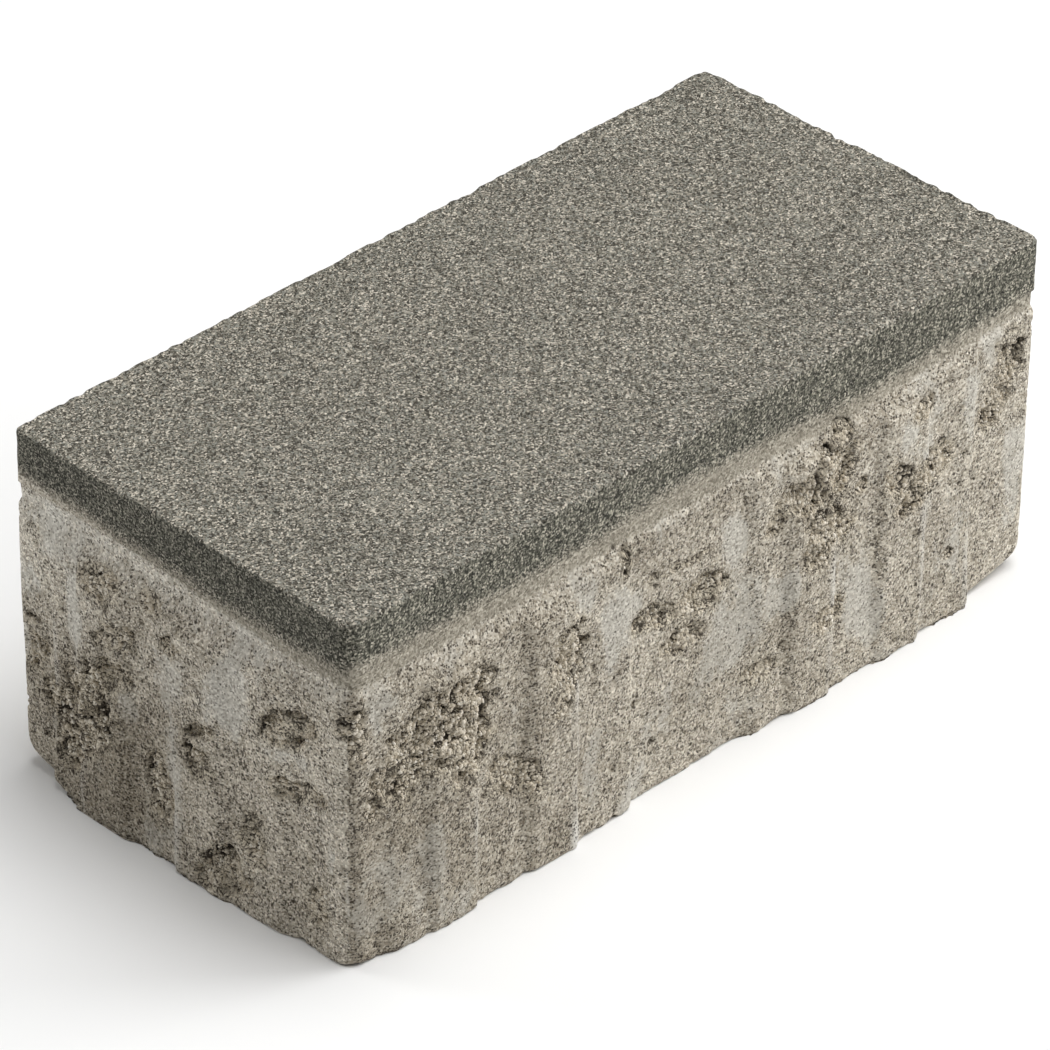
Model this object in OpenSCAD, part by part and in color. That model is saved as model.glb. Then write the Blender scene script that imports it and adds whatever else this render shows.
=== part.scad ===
// Rectangular concrete paving stone: a dark facing layer on a paler core, with spacer ribs cast
// on all four sides. The stone lies on its bed, centred on the origin, with its length along X.

/* [Laying size] */
// Length of the stone over its ribs
stone_l = 200; // [160:1:300]
// Width of the stone over its ribs
stone_w = 100; // [85:1:150]
// Height from the bed to the wearing face
stone_h = 80; // [50:1:120]

/* [Wearing face] */
// Distance from the ribs' crests in to the wearing face's edge
face_inset = 3.5; // [2.5:0.25:5]
// Thickness of the facing layer
facing_t = 12; // [5:0.5:15]
// Radius of the wearing face's corners in plan
face_corner_r = 2.5; // [1:0.25:5]
// Width of the break along the top edge
edge_break = 0.6; // [0.2:0.1:2]

/* [Shoulder] */
// Depth of the smooth upper sides, from the wearing face to the shoulder
shoulder_depth = 16; // [15.5:0.5:24]
// Height of the shoulder's slope, from the upper sides out to the crests
shoulder_h = 6; // [2:0.5:12]
// How far the wall between the pads stands out past the wearing face
wall_step = 0.8; // [0.4:0.1:1]
// Radius of the lower wall's corners in plan
wall_corner_r = 4; // [3:0.25:8]

/* [Spacer ribs] */
// Width of the raised pad that carries a pair of ribs
pad_w = 62; // [50:1:68]
// How far each pad sits to the left of its stretch of side, seen from outside
pad_shift = 4; // [-4:0.5:4]
// Height of a pad over the wall
pad_h = 1.2; // [0.5:0.1:1.4]
// Crest width of a rib
rib_w = 10; // [4:0.5:14]
// Distance from a pad's left edge to its first rib
rib_lead = 9; // [3:0.5:14]
// Space between the two ribs of a pad
rib_gap = 17; // [8:0.5:20]
// Width of the sloping flanks of the pads and ribs
flank_w = 2; // [0.5:0.25:3]

/* [Hidden] */
$fn = 48;

face_l = stone_l - 2 * face_inset;
face_w = stone_w - 2 * face_inset;
wall_l = face_l + 2 * wall_step;
wall_w = face_w + 2 * wall_step;
crest_h = face_inset - wall_step; // height of the crests over the wall
facing_z = stone_h - facing_t;
shoulder_z = stone_h - shoulder_depth;
rib_pitch = rib_w + rib_gap;
root_bite = 1; // how far a pad or rib is sunk into the wall
slack = 1;     // how far a cutting profile runs past what it cuts

// A rectangle with round corners, centred on the origin.
module rounded_plan(l, w, r) {
    square([l - 2 * r, w], center = true);
    square([l, w - 2 * r], center = true);
    for (sx = [-1, 1], sy = [-1, 1])
        translate([sx * (l / 2 - r), sy * (w / 2 - r)])
            circle(r);
}

// A strip in plan on the -Y side of a wall along X. Its flanks slope from base_h up to its crest.
module strip_plan(crest_w, base_h, top_h) {
    base_x = crest_w / 2 + flank_w;
    polygon([
        [-base_x, root_bite], [-base_x, -base_h], [-crest_w / 2, -top_h],
        [crest_w / 2, -top_h], [base_x, -base_h], [base_x, root_bite]
    ]);
}

// A pad in plan with its two ribs, as the side is seen from outside.
module ribbed_pad() {
    first_x = rib_lead + rib_w / 2 - pad_w / 2;
    strip_plan(pad_w, 0, pad_h);
    for (i = [0, 1])
        translate([first_x + i * rib_pitch, 0])
            strip_plan(rib_w, pad_h, crest_h);
}

// The pads along one side: one for each stone width that fits in the side's length.
module side_pads(side_l, wall_y) {
    count = max(1, round(side_l / stone_w));
    pitch = side_l / count;
    for (i = [0:count - 1])
        translate([(i + 0.5) * pitch - side_l / 2 - pad_shift, -wall_y])
            ribbed_pad();
}

// The lower wall in plan, with the pads and ribs of all four sides.
module ribbed_plan() {
    rounded_plan(wall_l, wall_w, wall_corner_r);
    for (turn = [0, 180]) {
        rotate(turn)
            side_pads(stone_l, wall_w / 2);
        rotate(turn + 90)
            side_pads(stone_w, wall_l / 2);
    }
}

// A bar along Y with the section that the sides show at the top edge, over a width of l.
module top_edge_bar(l, w) {
    rotate([90, 0, 0])
        linear_extrude(w + 2 * slack, center = true)
            polygon([
                [-l / 2, 0], [l / 2, 0], [l / 2, stone_h - edge_break],
                [l / 2 - edge_break, stone_h], [edge_break - l / 2, stone_h],
                [-l / 2, stone_h - edge_break]
            ]);
}

// A bar along Y with the section of the shoulder, over a width of l at the crests.
module shoulder_bar(l, w) {
    crest_z = shoulder_z - shoulder_h;
    rotate([90, 0, 0])
        linear_extrude(w + 2 * slack, center = true)
            polygon([
                [-l / 2, 0], [l / 2, 0], [l / 2, crest_z],
                [l / 2 - face_inset, shoulder_z], [l / 2 - face_inset, facing_z],
                [face_inset - l / 2, facing_z], [face_inset - l / 2, shoulder_z],
                [-l / 2, crest_z]
            ]);
}

// The dark facing concrete that carries the traffic.
module facing_layer() {
    color([0.36, 0.36, 0.33])
        intersection() {
            translate([0, 0, facing_z])
                linear_extrude(facing_t)
                    rounded_plan(face_l, face_w, face_corner_r);
            top_edge_bar(face_l, face_w);
            rotate(90)
                top_edge_bar(face_w, face_l);
        }
}

// The paler core concrete, with the shoulder and the spacer ribs.
module core_body() {
    color([0.62, 0.59, 0.53])
        intersection() {
            union() {
                linear_extrude(facing_z)
                    rounded_plan(face_l, face_w, face_corner_r);
                linear_extrude(shoulder_z)
                    ribbed_plan();
            }
            shoulder_bar(stone_l, stone_w);
            rotate(90)
                shoulder_bar(stone_w, stone_l);
        }
}

facing_layer();
core_body();
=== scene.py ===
import math
import bmesh
import bpy
import numpy as np
from mathutils import Matrix, Vector


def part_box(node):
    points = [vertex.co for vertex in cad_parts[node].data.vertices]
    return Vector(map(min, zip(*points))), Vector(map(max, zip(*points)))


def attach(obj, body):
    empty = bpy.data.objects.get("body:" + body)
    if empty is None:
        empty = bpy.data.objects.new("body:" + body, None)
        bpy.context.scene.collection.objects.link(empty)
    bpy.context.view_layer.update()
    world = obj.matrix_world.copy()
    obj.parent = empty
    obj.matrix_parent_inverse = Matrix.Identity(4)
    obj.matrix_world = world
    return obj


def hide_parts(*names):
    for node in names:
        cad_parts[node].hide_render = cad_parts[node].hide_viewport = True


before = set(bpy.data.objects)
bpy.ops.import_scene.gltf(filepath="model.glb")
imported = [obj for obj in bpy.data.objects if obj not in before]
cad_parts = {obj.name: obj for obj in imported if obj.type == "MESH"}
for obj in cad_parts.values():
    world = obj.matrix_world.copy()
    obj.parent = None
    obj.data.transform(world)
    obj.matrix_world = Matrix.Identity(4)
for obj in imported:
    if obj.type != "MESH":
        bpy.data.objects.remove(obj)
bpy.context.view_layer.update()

mm = 0.001
scene = bpy.context.scene
facingLow, facingHigh = [np.array(corner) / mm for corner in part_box("facing_layer")]
coreLow, coreHigh = [np.array(corner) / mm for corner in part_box("core_body")]
topZ, seamZ, bedZ = facingHigh[2], facingLow[2], coreLow[2]
reach = coreHigh[0] - facingHigh[0]  # how far the rib crests stand out past the wearing face


def cellHash(cell, seed):
    # a fixed random number from 0 to 1 for each whole-number cell
    x, y, z = [cell[..., axis].astype(np.int64) for axis in range(3)]
    key = (x * 73856093) ^ (y * 19349663) ^ (z * 83492791) ^ (seed * 26544357)
    key &= 0xFFFFFFFF
    for _ in range(2):
        key = ((key ^ (key >> 16)) * 0x45D9F3B) & 0xFFFFFFFF
    return (key ^ (key >> 16)) / 4294967295.0


def softNoise(points, size, seed):
    # smooth noise from -1 to 1 with features about one size across
    scaled = points / size
    cell = np.floor(scaled)
    part = scaled - cell
    part = part * part * part * (part * (part * 6 - 15) + 10)
    total = np.zeros(len(points))
    for corner in range(8):
        step = np.array([corner & 1, corner >> 1 & 1, corner >> 2 & 1])
        weight = np.prod(np.where(step, part, 1 - part), axis=1)
        total += weight * cellHash(cell + step, seed)
    return total * 2 - 1


def roughNoise(points, size, seed, layers=3):
    # soft noise with finer and finer layers on top
    total, strength = np.zeros(len(points)), 0.0
    for layer in range(layers):
        share = 0.5 ** layer
        total += share * softNoise(points, size * share, seed + layer)
        strength += share
    return total / strength


def pebbleNoise(points, size, seed):
    # round bumps, 1 on top of each and 0 between them
    scaled = points / size
    cell = np.floor(scaled)
    nearest = np.full(len(points), 9.0)
    for step in np.ndindex(3, 3, 3):
        other = cell + np.array(step) - 1
        spot = np.stack([cellHash(other, seed + axis) for axis in range(3)], axis=1) + other
        nearest = np.minimum(nearest, np.sum((spot - scaled) ** 2, axis=1))
    return np.clip(1 - nearest * 1.6, 0, 1)


def ease(low, high, value):
    # 0 at low and 1 at high with an easy curve between them; low may be the larger one
    part = np.clip((value - low) / (high - low), 0, 1)
    return part * part * (3 - 2 * part)


sides = [  # each side as it is seen from outside: its left end, the way along it and the way out of it
    {"name": "front", "start": (-1, -1), "along": (1, 0), "out": (0, -1), "steep": "right"},
    {"name": "right", "start": (1, -1), "along": (0, 1), "out": (1, 0), "steep": "left"},
    {"name": "back", "start": (1, 1), "along": (-1, 0), "out": (0, 1), "steep": "right"},
    {"name": "left", "start": (-1, 1), "along": (0, -1), "out": (-1, 0), "steep": "left"},
]
for side in sides:
    side["start"] = np.array(side["start"]) * facingHigh[:2]
    side["along"], side["out"] = np.array(side["along"], float), np.array(side["out"], float)
    side["length"] = 2 * abs(side["along"] @ facingHigh[:2])


def walkOutline(cell, radii):
    # walks round the wearing face counter-clockwise, each side from corner middle to corner middle
    ring = {"place": [], "out": [], "side": [], "along": []}
    counts = [round(side["length"] / cell) for side in sides[:2]]
    for index, side in enumerate(sides):
        first, last = radii[index], radii[(index + 1) % 4]
        firstArc, lastArc = first * math.pi / 4, last * math.pi / 4
        straight = side["length"] - first - last
        count = counts[index % 2]
        walk = np.arange(count) / count * (firstArc + straight + lastArc)
        bend = np.where(walk < firstArc, walk / firstArc - 1,
                        np.clip((walk - firstArc - straight) / lastArc, 0, 1)) * math.pi / 4
        radius = np.where(bend < 0, first, last)
        along = np.clip(walk - firstArc + first, first, side["length"] - last) + radius * np.sin(bend)
        ring["place"].append(side["start"] + np.outer(along, side["along"])
                             + np.outer(radius * (np.cos(bend) - 1), side["out"]))
        ring["out"].append(np.outer(np.sin(bend), side["along"]) + np.outer(np.cos(bend), side["out"]))
        ring["side"].append(np.full(count, index))
        ring["along"].append(along)
    ring["counts"] = counts
    for key in ("place", "out", "side", "along"):
        ring[key] = np.concatenate(ring[key])
    return ring


def stackRows(ring, rows):
    # the ring repeated at every height, as flat lists of points
    field = {key: np.tile(ring[key], (len(rows), 1) if ring[key].ndim > 1 else len(rows))
             for key in ("place", "out", "side", "along")}
    field["z"] = np.repeat(rows, len(ring["side"]))
    field["spot"] = np.column_stack([field["place"], field["z"]])
    return field


def sideValue(field, values):
    # one value for each side, given to every point on that side
    return np.array([values[side["name"]] for side in sides])[field["side"]]


def bySide(field):
    # each side's name, its points, how far along it they lie, and -1 where it runs against the world axis
    for index, side in enumerate(sides):
        here = np.flatnonzero(field["side"] == index)
        yield side["name"], here, field["place"][here] @ side["along"], side["along"].sum()


def fillPlan(loop, counts):
    # fills a closed loop with a grid: the new inner points and the grid of point numbers
    long, short = counts
    start = [0, long, long + short, 2 * long + short, 2 * (long + short)]
    closed = np.vstack([loop, loop[:1]])
    near, right, far, left = [closed[start[k]:start[k + 1] + 1] for k in range(4)]
    far, left = far[::-1], left[::-1]
    s, t = np.meshgrid(np.linspace(0, 1, long + 1), np.linspace(0, 1, short + 1), indexing="ij")
    s, t = s[..., None], t[..., None]
    points = (1 - t) * near[:, None] + t * far[:, None] + (1 - s) * left[None] + s * right[None]
    points -= (1 - s) * (1 - t) * near[0] + s * (1 - t) * near[-1] + (1 - s) * t * far[0] + s * t * far[-1]
    numbers = np.zeros((long + 1, short + 1), int)
    total = len(loop)
    numbers[:, 0] = np.arange(long + 1)
    numbers[-1, :] = np.arange(long, long + short + 1)
    numbers[:, -1] = np.arange(long + short, 2 * long + short + 1)[::-1]
    numbers[0, :] = (np.arange(2 * long + short, total + 1) % total)[::-1]
    numbers[1:-1, 1:-1] = total + np.arange((long - 1) * (short - 1)).reshape(long - 1, short - 1)
    return points[1:-1, 1:-1].reshape(-1, loop.shape[1]), numbers


def ringQuads(count, rowCount):
    # faces between the rows of a stack whose rows go down
    row, column = np.meshgrid(np.arange(rowCount - 1), np.arange(count), indexing="ij")
    upper, nextColumn = row * count, (column + 1) % count
    return np.stack([upper + column, upper + count + column, upper + count + nextColumn, upper + nextColumn],
                    axis=-1).reshape(-1, 4)


def gridQuads(numbers, upward):
    quads = np.stack([numbers[:-1, :-1], numbers[1:, :-1], numbers[1:, 1:], numbers[:-1, 1:]], axis=-1)
    quads = quads.reshape(-1, 4)
    return quads if upward else quads[:, ::-1]


def makePiece(name, points, faces, marks=None):
    # a mesh object from millimetre points, lists of quads or triangles, and named point values
    mesh = bpy.data.meshes.new(name)
    corners = np.concatenate([part.reshape(-1) for part in faces])
    sizes = np.concatenate([np.full(len(part), part.shape[1]) for part in faces])
    mesh.vertices.add(len(points))
    mesh.vertices.foreach_set("co", (points * mm).astype(np.float32).reshape(-1))
    mesh.loops.add(len(corners))
    mesh.loops.foreach_set("vertex_index", corners.astype(np.int32))
    mesh.polygons.add(len(sizes))
    mesh.polygons.foreach_set("loop_start", (np.cumsum(sizes) - sizes).astype(np.int32))
    mesh.polygons.foreach_set("use_smooth", np.ones(len(sizes), bool))
    for key, values in (marks or {}).items():
        mark = mesh.attributes.new(key, "FLOAT", "POINT")
        mark.data.foreach_set("value", values.astype(np.float32))
    mesh.update(calc_edges=True)
    mesh.validate()
    piece = bpy.data.objects.new(name, mesh)
    scene.collection.objects.link(piece)
    return piece


def applyModifiers(piece):
    bpy.context.view_layer.update()
    finished = bpy.data.meshes.new_from_object(piece.evaluated_get(bpy.context.evaluated_depsgraph_get()))
    piece.modifiers.clear()
    piece.data = finished


core = {
    "cell": 0.42,             # spacing of the mesh before it is thinned
    "pebble": 1.7,            # the lumps in the pockets
    "keepFaces": 190000,      # triangles left after thinning
    "cornerRadii": (3.4, 2.8, 2.5, 2.5),  # from the near corner round to the right
    "shoulderZ": 64.0,        # the top of the shoulder
    "shoulderHeight": 6.0,    # and the height of its slope out to the crests
    "wallStep": 0.8,
    "padHeight": 1.2,
    "ribHeight": 1.5,
    "padMiddle": 46.0,        # along each hundred of side, from its left end
    "padWidth": 62.0,
    "ribMiddles": (29.0, 56.0),
    "ribWidth": 10.0,
    "footFill": 0.35,         # how far the gaps beside the ribs fill up near the bed
    "sink": 0.12,             # how far the sides lie back on average
    "sinkWave": 0.16,
    "pebbleDepth": 0.55,
    "crackDepth": 0.9,
    "lipDepth": 1.2,          # the cut under the upper lip of a pocket
    "edgeWear": 0.4,          # the bottom edge
    "edgeChips": 0.8,
    "bedHollows": 0.45,
    "steepFlank": 2.0,        # the flank that faces away from the near corner
    "gentleFlank": 6.0,
    "lineWearAndHighlightStrength": {"front": 1.15, "right": 0.45, "back": 0.6, "left": 0.55},  # pale lines down steep flanks, partly wear and partly painted highlight, strongest on the front
}

# where the concrete did not close against the mould, on the sides named:
# (place along the world axis, height, half width, half height, depth, lean in degrees)
pockets = {
    "front": [
        (-76, 47, 12, 10, 2.6, 0), (-68, 41, 7, 9, 2.2, 0), (-86, 40, 6, 6, 1.4, 0), (-66, 52, 5, 5, 1.6, 0),
        (-41, 45, 5.5, 9, 1.8, 0), (-43, 35.5, 4, 1.6, 1.6, 10), (-55, 25, 8, 4.5, 1.1, -35),
        (-14, 42, 7, 3, 1.3, -10), (-2, 41, 6, 4, 1.2, 0), (-8, 33.5, 6, 3, 1.4, 0), (-6, 51, 6, 1, 0.7, -5),
        (24, 53, 6.5, 4.5, 3.4, -20), (34, 51, 7, 9, 2.5, 0), (33, 40, 7, 6, 2.0, 30), (18, 48, 3, 3, 1.5, 0),
        (38, 61, 2.5, 3, 1.2, 0), (14, 15, 4.5, 4, 0.9, 0), (34, 19, 5, 3, 1.0, 0), (43.5, 46, 2, 2, 1.1, 0),
        (60, 57, 4, 2.6, 1.2, 0), (58, 35.5, 6, 2.4, 2.6, 0), (65, 41, 6, 5, 1.1, 30), (54, 43, 4, 5, 0.9, 0),
        (88, 54, 5, 7, 2.6, -25), (84, 45, 5, 4, 1.3, 0), (-24, 60, 1.2, 3, 0.7, 0),
        (71, 16, 1.8, 1.3, 1.2, 0), (-91, 36, 2.5, 4, 1.2, 0), (-96, 54, 4, 7, 0.6, 0),
    ],
    "left": [
        (24, 29, 8, 6, 2.6, 0), (17, 38, 7, 4, 2.4, 30), (25, 20, 8, 3.5, 2.3, 15), (-8, 38, 5, 1.8, 2.8, 30),
        (-7, 30, 4.5, 5, 2.4, 0), (-30, 48.5, 10.5, 4, 3.4, 35), (-34, 36, 6, 2.6, 2.2, 15),
        (0, 53, 4, 1.8, 1.4, 20), (-47, 57, 4, 4, 1.8, 0), (43, 30, 4.5, 6, 4.0, 0), (35, 23, 5, 4, 2.2, 0),
        (30, 12, 4, 5, 1.6, 0), (-14, 6, 6, 6, 2.2, 0), (4, 17, 4, 8, 1.5, 0), (6, 60, 3, 2, 0.8, 0),
        (16, 47, 6, 3, 0.9, 20), (-22, 18, 4, 6, 1.2, 0), (20, 58, 5, 3, 0.4, 0), (-38, 12, 3, 5, 1.0, 0),
    ],
}

# smooth grey slurry skin: (place, height, half width, half height, strength)
skinSpots = {
    "front": [
        (-79, 60, 9, 3, 1.0), (-92, 8, 6, 6, 1.0), (-68, 5, 8, 6, 0.8), (-55, 40, 3, 4, 1.2),
        (-33, 20, 5, 20, 1.0), (-25, 46, 5, 8, 0.8), (-26, 8, 7, 6, 0.8), (6, 26, 6, 6, 1.1),
        (-4, 18, 7, 6, 1.0), (8, 53, 5, 6, 0.9), (24, 31, 5, 6, 1.1), (45, 20, 6, 12, 1.1),
        (63, 44, 3, 16, 0.8), (80, 18, 8, 14, 0.9), (72, 55, 5, 7, 0.8), (-50, 10, 5, 8, 0.5),
        (-78, 20, 8, 8, 0.5), (92, 30, 4, 12, 0.8),
    ],
    "left": [
        (-16, 56, 4, 16, 1.1), (-33, 43, 8, 4, 1.1), (-42, 22, 7, 15, 1.0), (-38, 30, 6, 7, 0.9),
        (40, 60, 6, 6, 0.8), (-18, 30, 3, 8, 0.5), (26, 48, 3, 9, 0.5), (1, 10, 3, 8, 0.4),
    ],
}

# broad darker, browner areas, partly staining and partly painted shade that darkens the short left side;
# below zero, painted light that makes the upper left side paler: (place, height, half width, half height,
# strength)
stainsAndPaintedLightShade = {
    "front": [(0, 35, 160, 70, 0.22), (-92, 20, 26, 40, 0.62), (-55, 40, 20, 20, 0.27),
              (-50, 10, 18, 18, 0.4), (20, 16, 22, 14, 0.17), (-99, 58, 10, 14, 0.3),
              (70, 15, 20, 15, 0.22), (-4, 16, 22, 17, 0.22), (-50, 58, 9, 6, 0.17)],
    "left": [(35, 14, 26, 26, 0.58), (8, 18, 22, 30, 0.48), (-25, 12, 22, 16, 0.32), (20, 32, 22, 14, 0.24),
             (42, 54, 16, 13, -0.4), (15, 65, 34, 4, -0.3)],
    "back": [(60, 20, 35, 25, 0.4), (-30, 30, 40, 30, 0.3)],
    "right": [(-20, 20, 30, 25, 0.45), (30, 40, 20, 20, 0.3)],
}

# corners of the bed that broke away: (x, y, how far it reaches, height)
brokenCorners = [(-1, 1, 19, 8.5), (-1, -1, 7, 2.2), (1, -1, 22, 7.5), (1, 1, 8, 2.5)]


def scatterSpots(seed, count, halfLength):
    # pockets for a side that is seen from behind
    pick = np.random.default_rng(seed)
    spots = []
    for _ in range(count):
        size = pick.uniform(1.5, 8)
        spots.append((pick.uniform(-0.9, 0.9) * halfLength, pick.uniform(12, 58), size,
                      size * pick.uniform(0.4, 1.1), 0.6 + size * pick.uniform(0.12, 0.3),
                      pick.uniform(-35, 35)))
    return spots


def scatterSkin(seed, count, halfLength):
    pick = np.random.default_rng(seed)
    return [(pick.uniform(-1, 1) * halfLength, pick.uniform(4, 60), pick.uniform(3, 8), pick.uniform(5, 16),
             pick.uniform(0.6, 1.2)) for _ in range(count)]


pockets["back"] = scatterSpots(31, 26, facingHigh[0])
pockets["right"] = scatterSpots(47, 14, facingHigh[1])
skinSpots["back"] = scatterSkin(53, 18, facingHigh[0])
skinSpots["right"] = scatterSkin(59, 9, facingHigh[1])


def ridge(value, middle, width, leftFlank, rightFlank):
    # 1 across a crest, easing to 0 down its two flanks
    beside = value - middle
    flank = np.where(beside < 0, leftFlank, rightFlank)
    return ease(0, 1, 1 - (np.abs(beside) - width / 2) / flank)


def modulePlace(field):
    # where a point lies along its hundred of side, and its two flank widths
    wobble = softNoise(field["spot"] * (1, 1, 0.35), 7, 3) * 0.7
    lengths = np.array([side["length"] + 2 * reach for side in sides])[field["side"]]
    pitch = lengths / np.round(lengths / (2 * coreHigh[1]))
    steepRight = np.array([side["steep"] == "right" for side in sides])[field["side"]]
    left = np.where(steepRight, core["gentleFlank"], core["steepFlank"])
    right = np.where(steepRight, core["steepFlank"], core["gentleFlank"])
    return np.mod(field["along"] + reach, pitch) + wobble, left, right


def sideRelief(field):
    # how far the pads and ribs stand out past the wearing face
    at, left, right = modulePlace(field)
    pad = ridge(at, core["padMiddle"], core["padWidth"], left, right)
    rib = sum(ridge(at, middle, core["ribWidth"], left * 0.7, right) for middle in core["ribMiddles"])
    foot = ease(16, 2, field["z"]) * pad * core["footFill"]
    crest = core["ribHeight"] * np.clip(np.maximum(rib, foot), 0, 1)
    stand = core["wallStep"] + core["padHeight"] * pad + crest
    slope = (core["shoulderZ"] - field["z"]) * reach / core["shoulderHeight"]
    return np.minimum(stand, np.clip(slope, 0, None))


def spotDepths(field):
    # the pockets' depth, how far inside one a point is, how near to one, and the line under its lip, which is
    # cut in and also painted dark as its shadow
    ragged = 0.7 * roughNoise(field["spot"], 7, 11, 4) + 0.35 * roughNoise(field["spot"], 2.4, 13, 2)
    depth, inside, halo, under = [np.zeros(len(ragged)) for _ in range(4)]
    for name, here, place, flip in bySide(field):
        for middle, height, halfWidth, halfHeight, deep, lean in pockets[name]:
            across, up = place - middle * flip, field["z"][here] - height
            turn = math.radians(lean)
            across, up = (across * math.cos(turn) + up * math.sin(turn),
                          up * math.cos(turn) - across * math.sin(turn))
            level = 1 - np.hypot(across / halfWidth, up / halfHeight) + ragged[here]
            halo[here] = np.maximum(halo[here], ease(-0.7, 0.3, level))
            edge = ease(-0.02, 0.06, level) * ease(0.3, 0.12, level) * ease(0, 0.4 * halfHeight, up)
            under[here] = np.maximum(under[here], edge * min(1, deep / 2.2))
            lip = np.where(up > 0, 0.1, 0.4)  # the upper edge breaks off more sharply
            level = ease(0, 1, level / lip)
            depth[here] = np.maximum(depth[here], level * deep)
            inside[here] = np.maximum(inside[here], level)
    return depth, inside, halo, under * ease(-0.3, 0.05, roughNoise(field["spot"], 5, 17, 2))


def skinMask(field):
    # where the face is closed by smooth slurry, from 0 to 1
    drawn = roughNoise(field["spot"] * (1, 1, 0.45), 7, 23, 4)
    level = np.full(len(drawn), -0.5)
    for name, here, place, flip in bySide(field):
        for middle, height, halfWidth, halfHeight, strength in skinSpots[name]:
            across, up = (place - middle * flip) / halfWidth, (field["z"][here] - height) / halfHeight
            level[here] = np.maximum(level[here], (1 - np.hypot(across, up)) * strength)
    return ease(-0.3, 0.7, 0.7 * level + 2.2 * drawn - 0.15)


def bedLoss(field):
    # how far the bottom edge is worn in, with the broken corners
    flat = field["spot"] * (1, 1, 0.25)
    ragged = roughNoise(flat, 6, 71, 4)
    chips = np.clip(roughNoise(flat, 11, 75, 3) - 0.25, 0, 1)
    radius = core["edgeWear"] + core["edgeChips"] * ragged + 1.5 * chips
    for x, y, length, height in brokenCorners:
        gap = np.hypot(*(field["place"] - facingHigh[:2] * (x, y)).T)
        radius = np.maximum(radius, height * (1 - gap / length) + 0.45 * ragged)
    radius = np.clip(radius, 0.2, None)
    drop = np.clip(1 - field["z"] / radius, 0, 1)
    low = ease(2.0, 0, field["z"]) * np.clip(0.9 * roughNoise(flat, 3.5, 73, 3), 0, None)
    return radius * (1 - np.sqrt(1 - drop ** 2 * 0.999)) * 0.9 + low


def flankRidgesAndHighlights(field):
    # the thin ridges down the steep edges of the pads and ribs, painted pale: partly worn edges, partly
    # painted highlight
    at, left, right = modulePlace(field)
    turn = np.where(right < left, 1, -1)
    edges = [(core["padMiddle"], core["padWidth"], 0.6)]
    edges += [(middle, core["ribWidth"], 1) for middle in core["ribMiddles"]]
    drift = roughNoise(field["spot"] * (1, 1, 0.3), 6, 21, 3) * 1.6
    line = sum(share * np.clip(1.3 - np.abs(at + drift - middle - turn * (width / 2 + 0.6)) / 1.5, 0, 1)
               for middle, width, share in edges)
    broken = roughNoise(field["spot"] * (1, 1, 0.2), 6, 19, 3)
    # the painted highlight is strongest on the front
    line *= sideValue(field, core["lineWearAndHighlightStrength"])
    return line * ease(-0.3, 0.35, broken) * ease(0, 14, core["shoulderZ"] - 12 - field["z"])


def stainAndPaintedLightShadeMap(field):
    # broad areas where the core is darker and browner, from staining and painted shade, and paler ones from
    # painted light
    drift = roughNoise(field["spot"], 18, 87, 3)
    level = np.zeros(len(drift))
    for name, here, place, flip in bySide(field):
        for middle, height, halfWidth, halfHeight, strength in stainsAndPaintedLightShade[name]:
            across, up = (place - middle * flip) / halfWidth, (field["z"][here] - height) / halfHeight
            level[here] += strength * np.exp(-(across ** 2 + up ** 2))
    level += 0.28 * np.exp(-((field["z"] - core["shoulderZ"] + 3) / 3.2) ** 2)  # painted shade on the slope under the shoulder, which faces up and catches more light
    return np.clip(level * (1 + 0.9 * drift), -0.6, 1)


# where the dark facing concrete ends on the sides, and how deep it smears into the core below that:
# (place along the world axis, height, depth of the smear)
changeKnots = {
    "front": [(-100, 69.2, 4.6), (-60, 68.8, 4.6), (-30, 68.2, 4.2), (-2, 69.9, 6.0), (20, 68.3, 4.4),
              (45, 66.6, 3.0), (70, 67.0, 3.2), (100, 67.4, 3.4)],
    "left": [(-50, 68.5, 3.6), (-20, 68.8, 2.6), (0, 69.0, 1.6), (25, 69.6, 1.2), (50, 70.6, 0.8)],
    "back": [(-100, 69.0, 3.0), (-40, 67.6, 3.4), (10, 69.4, 5.0), (60, 68.2, 4.2), (100, 69.0, 3.0)],
    "right": [(-50, 67.6, 3.4), (0, 69.2, 4.2), (50, 68.4, 2.4)],
}
paintedSideShade = {"front": 1.0, "right": 0.9, "back": 1.0, "left": 0.78}  # painted shade: the facing concrete on each side is darkened by this factor, most on the short left side


def changeHeights(field):
    # the height where the dark facing concrete ends and the height where its smear ends
    heights = roughNoise(field["spot"] * (1, 1, 0.1), 16, 99, 3) * 1.1
    smears = np.zeros(len(heights))
    for name, here, place, flip in bySide(field):
        places, levels, depths = zip(*changeKnots[name])
        heights[here] += np.interp(place * flip, places, levels)
        smears[here] = heights[here] - np.interp(place * flip, places, depths)
    return heights, smears


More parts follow.
